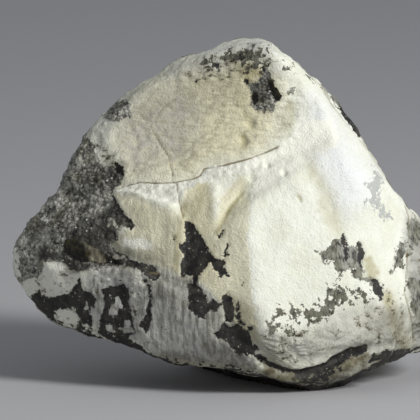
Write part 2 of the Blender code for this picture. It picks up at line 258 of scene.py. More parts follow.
# What covers the witherite, as outlines on the face. Film is a thin grey skin of rock, dust and flecks
# are that skin rubbed pale or broken up, rock is the black rock itself, specks are crumbs of it, crust
# is sugary crystals, glass is dark clear ones, and bare is witherite inside the others.
COVERS = {}
COVERS["rock"] = {
    "needle beside the middle block": [
        (-19.3, 31.4), (-18.7, 30.8), (-18.1, 29.2), (-17, 27.6), (-15.4, 25.9), (-16.2, 25.2),
        (-17.8, 26.3), (-18.9, 28.1), (-19.6, 29.7)],
    "end of the crevice": [
        (-17.6, 20.9), (-15.8, 20.3), (-13.9, 19.9), (-12.3, 19.3), (-11.5, 18), (-12.1, 17),
        (-13.4, 17.6), (-14.7, 18.6), (-17.1, 19.3)],
    "crown spot left of the crust": [(1.8, 49.4), (2.7, 49.5), (2.7, 48.6), (1.9, 48.6)],
    "crown spot under the ridge": [(-6.2, 49.2), (-5.1, 49.4), (-5.3, 48.7), (-6.1, 48.7)],
    "crown core left": [(-3.3, 52.1), (-2.2, 52.1), (-2.3, 51), (-3.1, 51.2)],
    "crown core middle": [(0.3, 53.3), (1.4, 53.5), (2.3, 52.8), (2, 52.2), (0.6, 52.4)],
    "crown core right": [(4.6, 51.5), (5.4, 51), (6.1, 50), (5, 50.2)],
    "middle patch": [
        (-7.7, 26.7), (-6.7, 26.7), (-5.9, 25.7), (-4.8, 24.4), (-4.3, 22.8), (-3.4, 21.7), (-2.6, 20.7),
        (-2.4, 20.6), (-1.6, 20.7), (-1.4, 21.7), (-0.8, 23.1), (-0.3, 23), (-1, 21.9), (-0.5, 21.2),
        (-1.1, 20.6), (-1, 18.8), (-0.3, 17.9), (-1.1, 18), (-1.8, 17.2), (-2.2, 18), (-3.2, 19.1),
        (-3.5, 20.1), (-4.3, 18.8), (-5.3, 17.9), (-5.6, 16.4), (-6.4, 16.4), (-6.6, 17.9), (-7.2, 17.9),
        (-8.2, 17.4), (-8.3, 18.2), (-8.2, 19.5), (-7.8, 21.2), (-8.3, 21.7), (-8.5, 22.8), (-7.5, 23.6),
        (-7.7, 25.1)],
    "fleck right of the patch": [(-2.4, 24.3), (-1.8, 25.1), (-1.3, 25.2), (-1.4, 24.3), (-2.1, 23.9)],
    "fleck left of the patch": [(-9.6, 24.1), (-9.1, 24.1), (-9.3, 23.6)],
    "lower patch left": [
        (-7.2, 16.6), (-6.2, 16.8), (-5.2, 16.2), (-4.2, 14.9), (-3.9, 13.9), (-3, 14.2), (-1.7, 13.3),
        (-2.5, 12.2), (-3.7, 12.2), (-4.4, 10.9), (-5.4, 11.3), (-6.9, 12.5)],
    "lower patch finger": [
        (-1.6, 14.6), (-0.8, 15.3), (0.3, 13.9), (0.5, 12.1), (0.2, 10.2), (-1.2, 10.5), (-1.5, 12.4)],
    "lower patch second finger": [
        (0.3, 13), (0.8, 14.3), (1.3, 13), (1.3, 11.5), (2.1, 10), (1.3, 9.6), (0.5, 10.8)],
    "lower patch body": [
        (-2.1, 9.1), (-1.4, 10.7), (-0.5, 10), (0.8, 10.3), (2.7, 8.9), (3.4, 7), (4.3, 6), (3.5, 5.2),
        (0.8, 5.2), (-0.8, 7), (-2.4, 7.8), (-3, 8.7)],
    "lower fleck left": [(-3.7, 11), (-2.9, 11.1), (-2.7, 10.5), (-3.5, 10.3)],
    "lower fleck right": [(2.4, 9.7), (3.4, 9.9), (3.4, 9.2), (2.6, 9.2)],
    "lower fleck high": [(1.3, 16.7), (1.8, 16.7), (1.6, 16.3)],
    "groove over the lip": [
        (2.8, 5.7), (4.6, 5.2), (6.3, 3.8), (8.3, 3), (10.6, 2.7), (13, 3.4), (15, 4.2), (18, 5.8),
        (20.2, 6.9), (21.8, 6.9), (21.6, 5.6), (18.9, 4.7), (17, 3.2), (14.4, 2), (10.9, 1.7), (7.7, 2.2),
        (5.4, 3.5), (3.8, 4.6)],
    "under the stone": [
        (-37, 12.4), (-31, 10), (-24, 8.3), (-20, 8.2), (-16, 7.4), (-13.1, 5.5), (-9.1, 3.8), (-1.1, 2.8),
        (4.8, 2.1), (8.2, 1), (10.9, 0.4), (14.1, 0.4), (18, 1.2), (22, 3.4), (25, 5.1), (26.9, 6.2),
        (30.1, 6.6), (35.7, 10), (42, -6), (-40, -6)],
    "groove at the right": [
        (22.4, 5.2), (24.5, 6), (27.2, 6.3), (28, 6), (26.2, 4.7), (23.7, 4.1), (21.8, 3.9)],
    "lower left arch": [
        (-20.8, 15.8), (-19.2, 16.4), (-17, 16.7), (-16.3, 15.6), (-16.5, 13.4), (-15.7, 11.1),
        (-15.4, 8.9), (-16.6, 7.6), (-19.2, 6.8), (-21.8, 7.9), (-21.4, 10), (-20.6, 12.1), (-20.5, 14)],
    "lower left crescent": [
        (-14.6, 17.1), (-13.8, 17.4), (-13, 16.3), (-12.6, 14), (-12.8, 11.8), (-13.1, 9.4), (-13.8, 8.6),
        (-14.7, 9.9), (-13.8, 11.9), (-13.3, 14.2), (-13.6, 15.9)],
    "lower left end": [
        (-37.1, 15.9), (-33.9, 16.7), (-33, 14.5), (-32.2, 14.8), (-30.7, 15.9), (-30.4, 14.8),
        (-29, 14.5), (-26.1, 15.3), (-25.1, 16.6), (-24.3, 17.9), (-23.7, 15.6), (-22.4, 15.3),
        (-21.6, 14), (-21.9, 11.1), (-21.6, 7.6), (-24, 7.3), (-30.7, 9.2), (-37.1, 12.4)],
    "bottom edge": [
        (-22.1, 8.6), (-20.6, 7.9), (-16.5, 7.9), (-13, 5.4), (-12.8, 4.1), (-17.9, 6), (-22.1, 6.7)],
    "stripe in the right film": [
        (17.3, 24.3), (17.9, 24.7), (18.6, 23.3), (18.9, 20.7), (18.2, 20.1), (17.8, 22)],
    "second stripe in the right film": [
        (19.8, 23.3), (20.5, 23.6), (21, 22.3), (21.4, 21.7), (21, 20.1), (20.8, 18.8), (20, 20.1),
        (20, 22)],
    "stripe under the right film": [
        (21.8, 17.9), (23.4, 17.2), (24.3, 15.9), (24.2, 14), (23.5, 13.7), (22.7, 15.6)],
    "behind the right ridge": [
        (17.2, 45.7), (18.8, 47), (20.4, 45), (21.6, 42.8), (22.2, 40.4), (20.4, 39.9), (18.9, 41.9),
        (17.2, 44.3)],
}
COVERS["specks"] = {
    "lip": [(9.4, 2.3), (12.5, 2.3), (15, 3.2), (16.8, 4.6), (17.2, 2.6), (15, 0.6), (10.8, 0.2)],
    "edge under the lower left face": [
        (-16, 7), (-12.6, 5), (-7, 3.8), (0, 3.4), (4.6, 2.8), (4.6, 1.4), (0, 2.4), (-7, 2.8), (-13, 3.8),
        (-17, 6)],
}
COVERS["film"] = {
    "right film": [
        (17.3, 24.6), (18.1, 24.1), (18.7, 22.8), (19.8, 22.8), (20.5, 23.6), (21, 22.8), (21.6, 21.5),
        (21.1, 21.1), (21, 19.3), (21.4, 17.9), (22.9, 17.4), (24.2, 16.4), (23.7, 15.1), (24.3, 13.2),
        (22.9, 15.1), (21.8, 16.8), (20.4, 17), (19, 17.7), (19.2, 19), (18.2, 18.7), (17.3, 17.2),
        (16.5, 19), (16.2, 20.1), (14.7, 19.8), (14.1, 20.9), (13.3, 21.7), (14.7, 22), (15.7, 22.8),
        (16.3, 23.6)],
    "right edge low": [
        (26.6, 23.6), (28.3, 23.6), (28, 21.7), (27.4, 20.1), (27.7, 19), (26.6, 19.1), (25.1, 17.9),
        (25.8, 19.8), (26.2, 21.7)],
    "far right": [
        (27.8, 18.2), (29.2, 17.4), (31, 17), (33.5, 13), (33.5, 8.6), (30.2, 9), (29, 11.1),
        (28.4, 14.8)],
    "beyond the crack": [(27.9, 26.5), (29.3, 27.5), (31.5, 24), (29.6, 22.6), (28.6, 22)],
    "behind the crown": [(12, 50.4), (12.7, 50.5), (13.3, 49.4), (13, 48.6), (12.5, 49.5)],
    "behind the ridge": [(14.2, 48.2), (15.2, 49.8), (17.8, 48.4), (19.3, 46.3), (17, 44.6), (15.5, 46.6)],
}
COVERS["dust"] = {
    "right edge high": [
        (22.4, 35.7), (23.7, 34.4), (24.5, 33.2), (23.9, 32.3), (23.6, 30.7), (24.2, 29.1), (25.5, 27.5),
        (24.8, 26.6), (23.5, 27.4), (23.2, 28.5), (21.8, 29.2), (20.8, 29.2), (22, 30.7), (21.7, 31.6),
        (21.1, 32.6), (22.4, 33.2)],
}
COVERS["flecks"] = {
    "brow string left": [(6.4, 12.4), (8.6, 12.9), (11.4, 13.1), (11.6, 10.7), (9, 10.8), (6.4, 10.9)],
    "brow string right": [
        (11.4, 12.7), (13.5, 13.7), (14.8, 14.4), (15.7, 16.4), (17, 16.9), (18.8, 16), (18.4, 13.8),
        (16.8, 12.3), (15, 11), (13.2, 9.4), (11.8, 10)],
    "under the right film": [(18.4, 15.9), (22, 15.6), (21.9, 13.5), (18.8, 13.6)],
    "crown left": [
        (-4.7, 52.8), (-3.5, 52.7), (-2, 52.4), (-1.8, 51), (-3.2, 50.7), (-3.7, 51.6), (-4.6, 51.7)],
    "crown middle": [
        (-3, 52.5), (-1.2, 53.3), (-0.4, 54), (1.1, 53.8), (2.4, 54.5), (3.8, 54.2), (5.3, 53.2),
        (5.2, 51.8), (4, 50.7), (2.8, 50.9), (3, 52.2), (1.6, 51.8), (0.2, 52.1), (-0.8, 51.9),
        (-1.6, 52.2)],
    "crown right": [(4.4, 51.7), (5.6, 51.5), (6.6, 50), (6.4, 48.8), (5, 49.6)],
    "crown rim": [(5, 54), (5.9, 54.2), (6.8, 53), (6.1, 52.8)],
    "right of the crown": [(8.2, 52.2), (9.9, 51.5), (9.3, 50.8), (8.1, 51.3)],
    "low on the brow": [(5.1, 10.6), (7.2, 10.6), (7.4, 8.2), (5.3, 8.2)],
    "middle of the brow": [(8.5, 10.5), (10.7, 10.5), (10.7, 8.4), (8.6, 8.4)],
}
COVERS["crust"] = {
    "top left patch": [
        (-18.6, 45.9), (-17.1, 46.3), (-16.2, 45.4), (-16.3, 44.3), (-16, 43.1), (-17.6, 42.7),
        (-19.2, 42.5), (-20.6, 43.1), (-20, 44.4)],
    "crown patch": [
        (2.6, 48.7), (4, 48.9), (4.6, 50), (5.6, 51.3), (6.4, 49.5), (7.2, 47.6), (7.8, 46.2), (7.2, 45.1),
        (6.6, 44.1), (5.1, 43.8), (3, 44.9), (2.7, 46), (3, 46.8), (2.6, 47.6)],
    "crown spot": [(9, 47.9), (9.9, 48.1), (10.1, 47), (9.1, 46.7)],
    "left end": [
        (-24.8, 42), (-24, 40.8), (-22.3, 39.3), (-21.5, 37.4), (-21.1, 35.9), (-19.5, 35.6), (-17, 34.8),
        (-17.6, 33.2), (-18.9, 31.5), (-19, 29.7), (-17.9, 27.6), (-15.5, 25.9), (-17.6, 25.7),
        (-18.6, 25.1), (-18.2, 23.6), (-19.7, 22.8), (-18, 21.7), (-16.6, 20.9), (-16.6, 19.8),
        (-21.1, 19), (-23, 18.7), (-25.6, 18.7), (-27.2, 20.1), (-30.1, 19.9), (-30, 18.6), (-31.2, 17.5),
        (-33, 17.2), (-34, 16.2), (-37.1, 15.6), (-37.1, 33.2)],
}
COVERS["glass"] = {
    "wedge in the crevice": [
        (-26.7, 23.5), (-25.5, 24.1), (-23.5, 23.3), (-21.8, 22.3), (-19.4, 21.2), (-17.4, 20.6),
        (-17.6, 19.7), (-21, 19.8), (-23.3, 20), (-25.6, 20.5), (-26.9, 21.7)],
    "wedge in the crown patch": [
        (5.5, 49.4), (6.5, 49.1), (7.9, 46.9), (7.9, 45.7), (7.1, 45.7), (6.2, 47.2)],
    "left of the crown patch": [(3.2, 47.2), (4.2, 47.4), (4.4, 45.8), (3.6, 45.2), (3, 46)],
    "face high in the crust": [(-18.9, 36.2), (-17.4, 35.4), (-17.2, 34), (-18.4, 34.2)],
}
COVERS["bare"] = {
    "in the crust": [(-20.6, 27), (-19.8, 27.5), (-18.9, 27), (-18.1, 25.9), (-18.6, 25.2), (-19.8, 25.7)],
    "lens in the crevice": [(-19.8, 21.1), (-19, 21.5), (-17.3, 21.1), (-17, 20.4), (-18.9, 20.4)],
    "fleck on the lobe": [(-30.7, 27), (-29.6, 27.5), (-28.8, 26.7), (-29.8, 26.2)],
    "edge of the lobe": [
        (-35.6, 22.4), (-34.2, 22.2), (-33.4, 20.9), (-33.5, 19.3), (-33.4, 17.8), (-35.6, 17.4)],
    "low on the lobe": [
        (-30.1, 19.9), (-28.5, 20.3), (-26.9, 19.5), (-25.1, 17.5), (-25.1, 16.6), (-26.1, 15.3),
        (-29, 14.5), (-30.4, 14.8), (-30.7, 15.9), (-32.2, 14.8), (-33, 14.5), (-33.8, 15.9),
        (-33.6, 16.9), (-31.8, 16.7), (-30.2, 17.5), (-29.8, 19)],
    "lowest on the lobe": [
        (-28.5, 12.3), (-26.7, 12.7), (-25.3, 13.1), (-24.3, 11.1), (-25, 9.4), (-25.9, 8.7), (-26.7, 9.4),
        (-27, 10.3), (-28.5, 11)],
    "arch island 1": [
        (-19.5, 13.2), (-18.6, 14.5), (-17.6, 14.3), (-17.4, 12.9), (-18.4, 11.8), (-19.8, 11.6)],
    "arch island 2": [(-18.1, 9.2), (-16.8, 11.1), (-15.8, 10.5), (-15.7, 8.7), (-17.3, 8.4)],
    "arch island 3": [
        (-16.5, 16.4), (-14.7, 17.1), (-13.4, 16.1), (-13.3, 14), (-13.9, 12.6), (-15.4, 12.3),
        (-16.2, 14)],
    "arch island 4": [(-15, 9.2), (-14.1, 9.7), (-13.8, 8.6), (-14.7, 8.1)],
    "arch island 5": [(-19.8, 14.7), (-19.4, 15.1), (-19, 14.2), (-19.5, 13.9)],
    "arch island 6": [(-20.2, 9.8), (-19.4, 10.4), (-18.6, 9.6), (-18.9, 8.6), (-20, 8.7)],
    "strand": [(-22.6, 13.2), (-21.7, 13), (-21.3, 10.5), (-21.6, 8.3), (-22.5, 8.5), (-22.4, 11)],
    "beside the strand": [(-24, 13.2), (-23.2, 13.8), (-22.8, 12.6), (-23.6, 11.8)],
    "beside the strand, low": [(-24, 10.2), (-23, 10.4), (-22.8, 9.2), (-23.8, 9)],
}
ROUND_THE_EDGE = ("behind the ridge", "behind the right ridge")
FAR = 30.0
RAGGED = [(1.1, 0.22), (0.5, 0.12)]

# Off the face a cover starts at a depth, height or side, in mm from the point under the face, and
# wanders from there. Veins and patches of bare witherite run through the rock.
ROCK_BEHIND = 15.0
ROCK_BELOW = 7.5
ROCK_LEFT = -30.0
FILM_BEHIND = 11.0
FILM_RIGHT = 28.0
CRUST_LEFT = -19.0
VEIN_STRETCH = (1, 1, 1.6)


def unseen_covers():
    """Distance to the covers on the sides, the back and below, where the rock reaches round it."""
    wander = 4.0 * swells(11, shift=3.1) + 1.6 * swells(4.2, shift=8.4)
    x, y, z = in_mm.T
    rock = np.minimum(ROCK_BEHIND - y, np.minimum(z - ROCK_BELOW, x - ROCK_LEFT)) + wander
    film = np.minimum(FILM_RIGHT - x, FILM_BEHIND - y) + 3.0 * swells(6, shift=5.5)
    crust = x - CRUST_LEFT + 0.8 * wander
    vein = 7.0 * np.abs(swells(13, VEIN_STRETCH, shift=1.9)) - 0.6
    vein += 3.0 * smooth_step(-0.2, 0.3, swells(9, shift=4.4))
    bare = np.minimum(vein, 2.4 - 6.5 * swells(7.5, shift=1.9))
    away = np.full(len(across), FAR)
    return {
        "film": film, "dust": away, "flecks": film - 1.0, "rock": rock, "specks": rock - 1.5,
        "crust": crust, "glass": away, "bare": bare}


ragged = layered(RAGGED, 1)
unseen = unseen_covers()
cover = {}
for kind, outlines in COVERS.items():
    nearest = np.full(len(across), FAR)
    for name, corners in outlines.items():
        distance = from_outline(corners)
        nearest = np.minimum(nearest, distance)
        if name in ROUND_THE_EDGE:
            unseen[kind] = np.minimum(unseen[kind], distance)
    cover[kind] = seen * nearest + (1 - seen) * unseen[kind] + ragged


# Stains, painted light and shade, and grain of the stone: areas with their strength and softness in mm,
# and routes with kind, strength and half width in mm. Places that several share come first. The ledge
# is the crushed strip between the long crack and the middle block.
LEDGE = [
    (-18.2, 31.6), (-14.6, 32.8), (-11.8, 32.7), (-9.1, 32.8), (-6.1, 33.4), (-4.5, 35.1), (-0.3, 35.7),
    (2.7, 36.5), (4.8, 37.1), (4.8, 34.5), (1.3, 34), (-2.7, 33.5), (-5.1, 32.6), (-7.4, 31.6), (-8.3, 30),
    (-9.6, 29.1), (-11.5, 29.5), (-13.6, 30), (-15.7, 31), (-18.6, 31.3)]
MIDDLE_BLOCK = [
    (-18.6, 30.7), (-15.7, 30.7), (-12.8, 29.4), (-9, 28.1), (-8, 26.8), (-7.7, 20.1), (-8, 17.5),
    (-11.5, 19.1), (-17.9, 22), (-19.8, 23.1), (-18.2, 23.9), (-16, 25.9)]
LOWER_LEFT_FACE = [
    (-23.4, 16.4), (-20.3, 19.6), (-13.1, 19.6), (-7.5, 18), (-3.5, 15.6), (-1, 9.2), (4.8, 2.5),
    (-1.1, 3.5), (-9.9, 4.1), (-13.1, 5.7), (-17.1, 8.4), (-21.1, 8.4), (-23.4, 12.4)]
SCOOP = [
    (1.3, 36.4), (-4.3, 35.5), (-5.9, 33.5), (-13.1, 33.1), (-17.1, 33.2), (-18.7, 38), (-18.2, 42.8),
    (-14.7, 46.8), (-8.3, 50.5), (-0.3, 52.4)]
BELOW_THE_BROW = [(27.5, 6.3), (22.1, 6.8), (17.3, 5.7), (12.5, 3.5), (8.5, 3.5), (4.8, 5.7), (4.8, 9.2)]
LOWER_LIP = [
    (5, 4.1), (7.7, 2.3), (10.9, 1.7), (15.7, 2.7), (18.1, 4.7), (21.4, 5.7), (21.8, 4.7), (18.9, 2.8),
    (14.1, 1.2), (10.9, 0.4), (7.8, 1.1), (4.8, 2.5)]
RIGHT_OF_THE_BROW = [(24.8, 14.5), (25.5, 11.1), (26.4, 8.4), (27.6, 6.9)]
AREAS = {}
AREAS["beige"] = {
    "left of the middle face": (1.0, 1.2, [
        (-7.6, 32.6), (-4.5, 33.9), (-3.2, 33.5), (-2.6, 27), (-1.8, 22), (-1, 14), (-6, 17.2), (-7.9, 18),
        (-8.2, 27)]),
    "middle face": (0.8, 0.35, [
        (-7.6, 32.6), (-4.5, 33.9), (1.3, 34.5), (2.4, 33.2), (2.6, 30), (2.6, 23.6), (2.9, 15.6),
        (4, 9.2), (4.8, 6.8), (1.3, 8.9), (-1, 13), (-4, 15.6), (-6, 17.2), (-7.9, 18), (-8.2, 27)]),
    "scoop": (1.0, 3.0, SCOOP + [(5.5, 51.5), (7.6, 47.6), (7.4, 41.2), (5.6, 38.4)]),
    "middle block": (0.8, 1.0, MIDDLE_BLOCK),
}
AREAS["grey"] = {
    "left of the scoop": (0.75, 3.0, [
        (-19, 42), (-14, 46), (-8, 49), (-5, 44), (-7, 37), (-14, 34), (-18, 35)]),
    "upper left": (0.35, 2.0, [
        (-21.1, 43.1), (-18.2, 42.8), (-17.1, 38), (-17.6, 33.2), (-19.2, 31.6), (-19.8, 34.8),
        (-21.1, 38), (-22.7, 41.2)]),
    "lower left face": (0.8, 0.5, LOWER_LEFT_FACE),
    "right end": (0.9, 1.0, [
        (27.8, 27.8), (30.1, 26), (38, 17.2), (38, 12.4), (38, 6.8), (28.8, 5.7), (29.4, 10.8), (29.1, 14),
        (28.2, 15.6), (28.5, 20.1), (27.7, 23.6)]),
    "brow": (0.55, 1.5, BELOW_THE_BROW + [(10.9, 8.4), (17.3, 12.4), (22.4, 14), (26.2, 12.1)]),
    "left of the crown": (0.5, 1.0, [(-9.3, 51.8), (-6.4, 52.1), (-6.4, 50.2), (-8.6, 49.7)]),
    "crown top": (0.7, 1.5, [
        (-10, 50.8), (-4.5, 53.2), (0, 55), (3, 56.5), (8, 56), (6.5, 53.5), (3, 52.5), (-3, 50.5),
        (-9, 49.4)]),
}
# Darkening, partly dark stain and partly painted shade: crevices, the notch, the lip and the edge under
# the face, and faces turned from the lamp are painted darker.
AREAS["stain_and_painted_shade"] = {
    "top of the scoop": (0.3, 2.5, [
        (-17, 43), (-13, 48), (-6, 51), (0, 50.5), (0, 46), (-4, 44), (-12, 43)]),
    "crown patch": (0.55, 0.8, [
        (2.6, 48.7), (4.6, 50), (6, 51), (7.2, 47.6), (7.8, 46.2), (5, 45.8), (3, 45.4)]),
    "lower right of the middle block": (0.28, 1.2, [
        (-17.5, 21.5), (-11.4, 22.5), (-10.4, 27), (-8.4, 27), (-8.4, 17.8), (-10.8, 18.6)]),
    "facet over the middle block": (0.22, 0.3, [(-11.4, 30.9), (-8.9, 32.3), (-8.4, 29.2), (-9.9, 29.7)]),
    "edge over the foot": (0.5, 0.8, [
        (-12, 5.8), (-4, 5), (4.6, 4.2), (5.6, 3), (4.6, 1.4), (-4, 2.4), (-12, 3.4)]),
    "below the middle block": (0.6, 0.6, [
        (-13, 18.2), (-10.5, 18), (-5.5, 17.4), (-5, 13), (-9, 12.6), (-12.4, 14.5)]),
    "foot of the nose": (0.42, 1.3, [
        (-4.4, 13.5), (-1, 15.5), (2.4, 13.2), (5, 12.2), (6.2, 8.6), (8.8, 5), (10.2, 3.2), (4.6, 2.6),
        (-4, 3.6), (-4.5, 8)]),
    "right end of the brow": (0.45, 1.6, [
        (20.5, 8.5), (23.5, 12), (26.5, 13), (30, 14), (38, 12), (38, 4), (28, 4), (20, 5)]),
    "lower right corner": (0.6, 1.0, [(24.5, 13), (27.6, 13), (30, 11), (30, 5), (24.8, 5.4)]),
    "right end, back": (0.4, 1.0, [(27.9, 26), (30, 28), (38, 20), (38, 4), (28.6, 4), (28.2, 15)]),
    "lip": (1.0, 0.6, [
        (4.8, 4.2), (7.7, 2.6), (10.9, 2.1), (15.4, 3.6), (18.5, 5.4), (21.8, 5.7), (25, 5.4), (28, 6.4),
        (28, 3), (18, -1), (4.8, 0)]),
    "crevice beside the lobe": (0.9, 0.5, [
        (-28.6, 22), (-26.6, 20.9), (-24.5, 20.6), (-22, 19.8), (-23.6, 18.6), (-25.6, 18.4), (-27.2, 20),
        (-30.2, 20.2), (-31.5, 21), (-30.6, 22.4)]),
    "middle of the crust": (0.35, 2.0, [
        (-30, 27), (-24, 32), (-22, 37), (-18, 35.5), (-18.5, 28), (-24, 24), (-29, 22)]),
    "crevice": (0.85, 1.2, [
        (-27, 24.6), (-23.5, 27.5), (-18.5, 29.5), (-17, 26.5), (-17.5, 24.5), (-19, 22.5), (-12.5, 20.6),
        (-11.5, 18), (-20, 19), (-27.5, 20.5)]),
    "notch": (0.8, 0.8, [(-19.6, 36.5), (-16.8, 35.6), (-17.4, 33), (-19, 31), (-21, 33.5)]),
}
AREAS["streaks"] = {
    "scoop": (1.0, 2.5, SCOOP + [(7.7, 52.1), (10.9, 47.6), (10.9, 41.2), (7.7, 38.8)]),
}
AREAS["fibres"] = {
    "lower left face": (1.0, 0.8, LOWER_LEFT_FACE),
    "middle block": (0.35, 1.5, MIDDLE_BLOCK),
}
AREAS["tan"] = {
    "middle block": (0.22, 1.5, [
        (-18, 30.4), (-12.8, 28.9), (-9, 27.6), (-8.4, 19), (-11.5, 19.6), (-17.9, 22.4), (-16, 25.9)]),
    "brow": (0.3, 2.0, [
        (3.8, 9.2), (10.9, 9.4), (17.3, 13.4), (24.4, 14), (27.2, 12.1), (27.5, 6.3), (22.1, 6.8),
        (17.3, 5.7), (12.5, 3.5), (8.5, 2.5), (3.8, 5.7)]),
    "corner of the brow": (0.6, 1.5, [
        (4, 7), (7, 6), (11, 4.6), (13, 3.6), (10.6, 2.6), (7, 3.2), (4.4, 4.6)]),
    "lower lip": (1.0, 0.8, LOWER_LIP),
    "edge below the face": (0.8, 0.6, [
        (-13.1, 5.7), (-5.1, 4.7), (0, 4.1), (4.8, 3.1), (4.8, 2.2), (-1.1, 3), (-8.3, 3.3),
        (-13.1, 4.4)]),
    "below the right film": (1.0, 0.6, [(21, 21.2), (22.4, 20.7), (23.4, 18.5), (23, 16.6), (21.4, 17.5)]),
    "crown": (1.0, 0.9, [(-0.5, 52.5), (3, 52.2), (4.8, 50.6), (3.4, 48.6), (1.4, 49.6)]),
    "above the right film": (0.5, 0.9, [
        (13.8, 30.8), (15, 31.3), (16, 29.2), (17.3, 26.8), (17.9, 24.3), (16.3, 24.3), (14.7, 26.5),
        (13.8, 28.7)]),
    "right of the crown patch": (0.6, 0.7, [
        (9, 46.3), (9.9, 45.4), (10.2, 43.1), (9.8, 41.2), (9, 40.9), (8.6, 43.5)]),
    "foot of the middle face": (0.4, 1.2, [(0.6, 14), (3.8, 12.4), (4.8, 6), (2.9, 7.3), (0, 10.8)]),
}
# Whitening, partly clean and crushed witherite and partly painted light: the ledge and the strip under the
# right ridge are painted lighter where light falls on them.
AREAS["clean"] = {
    "under the right ridge": (0.9, 2.0, [
        (3.4, 36), (8, 38.6), (11, 43), (16, 43), (17.5, 39), (12, 36.5), (6, 32), (3.2, 31)]),
    "ledge": (0.72, 0.3, LEDGE),
    "tongue of the ledge": (0.5, 0.3, [
        (-4.6, 33.8), (-3.6, 32.4), (-3.2, 30.8), (-2.9, 27.4), (-2.3, 27.2), (-2, 29), (-1.2, 31.2),
        (0.4, 32.6), (1.4, 34)]),
    "lobe": (0.48, 0.5, [
        (-29.8, 19.8), (-27, 19.6), (-25.2, 17.4), (-26.6, 15.4), (-28.6, 14.6), (-31, 16), (-33.6, 15.4),
        (-33.6, 16.8), (-30.4, 17.6)]),
    "over the arch": (0.42, 0.6, [
        (-22.8, 18.6), (-18, 19.3), (-13.6, 18.6), (-12.9, 16), (-13.8, 12.8), (-16, 14), (-16.6, 16.9),
        (-21, 16.6), (-22.2, 14.2), (-23, 16.8)]),
    "under the lobe": (0.75, 0.6, [
        (-28, 12), (-26.5, 12.5), (-25, 12.2), (-24.6, 10.6), (-26, 9.2), (-27.6, 10.6)]),
    "edge of the lobe": (0.9, 0.4, [
        (-36, 23), (-33.8, 22.4), (-33, 20.9), (-33.1, 19.3), (-33, 17.6), (-36, 17)]),
    "below the middle block": (0.6, 0.6, [
        (-17.8, 23.8), (-14.5, 24), (-12.6, 23), (-12.8, 22), (-15, 22), (-17.6, 22.4)]),
}
AREAS["cool"] = {
    "bright ridge": (0.6, 3.0, [
        (12.5, 46.8), (15.7, 44.4), (19.2, 39.6), (22.4, 34.8), (21.8, 30), (18.1, 27.6), (15.7, 31.6),
        (13.8, 38), (12.2, 42.8)]),
}
AREAS["dirt"] = {
    "lower lip": (0.6, 0.6, LOWER_LIP),
    "brown of the crown": (0.75, 0.8, [(0, 52.3), (3.4, 52.2), (4.8, 50.6), (3.4, 48.9), (1.8, 50)]),
    "brow": (0.45, 1.2, [
        (4.8, 10.6), (12, 10.4), (18, 10.6), (22.6, 14.2), (26.3, 12), (24, 7), (16, 5), (10.9, 3),
        (7.2, 3.4), (4.8, 5.6)]),
    "corner of the brow": (0.48, 1.0, [
        (4.6, 8.8), (8.5, 9.5), (12.5, 6.5), (11.5, 3.4), (6.8, 3), (4.8, 5)]),
    "lower left": (0.4, 0.8, [
        (-35, 21), (-30, 20.5), (-24, 19), (-16, 19.6), (-12.6, 18.6), (-11.6, 12), (-13, 6), (-20, 6),
        (-30, 8), (-37, 14)]),
    "lower middle": (0.3, 0.8, [
        (-12.6, 18.6), (-7.5, 17.6), (-3.5, 15.6), (-1, 9.2), (4.8, 4.5), (4.8, 2.5), (-9.9, 4.1),
        (-13, 6), (-11.6, 12)]),
    "beside the crust": (0.55, 1.2, [
        (-24.5, 43), (-20.5, 40), (-18.5, 37), (-15.2, 35.6), (-15.6, 33.4), (-19.5, 31), (-20.5, 35),
        (-23.5, 40)]),
    "crown": (0.6, 1.2, [
        (-8, 50.5), (-3, 53.2), (3, 55), (6.5, 54.4), (7.5, 52), (5, 51.5), (1, 50.2), (-2, 48.5),
        (-5.8, 48.6)]),
    "right end": (0.4, 1.0, [
        (27, 28), (30, 28), (38, 18), (38, 6), (28, 5), (25.6, 8), (25.6, 13), (27.2, 18)]),
}
AREAS["crushed"] = {
    "ledge": (1.0, 0.5, LEDGE),
    "right of the scoop": (0.5, 2.0, [
        (4, 37), (12, 40), (13, 46), (11, 50), (9, 46), (7, 41), (2, 38)]),
}
AREAS["rough"] = {
    "upper left": (0.9, 1.5, [
        (-21.1, 43.1), (-14, 43.5), (-11.8, 39.5), (-10.1, 36.9), (-9.5, 33.9), (-17.1, 33.2),
        (-19.8, 34.8), (-22.7, 41.2)]),
    "lower left": (0.9, 1.0, [
        (-37, 21), (-30, 20.5), (-24, 19.5), (-16, 19.6), (-12.6, 18.6), (-12.6, 6), (-20, 5), (-37, 10)]),
    "brow": (1.0, 1.5, BELOW_THE_BROW + [(10.9, 10.4), (17.3, 12.4), (24.4, 15), (27.2, 12.1)]),
    "crown": (0.8, 1.5, [
        (-9, 48.5), (-8, 52), (0, 54.5), (8, 56), (13, 49), (12, 44), (8, 42), (5, 44), (2, 48),
        (-3, 49)]),
}
# Painted sheen: the lighter face of a clear crystal in the crevice.
AREAS["painted_sheen"] = {
    "painted sheen on the facet in the crevice": (1.0, 0.4, [
        (-24.2, 23.6), (-22.6, 23), (-20.9, 21.9), (-20.5, 20.2), (-22.6, 20), (-22.8, 21.6)]),
}
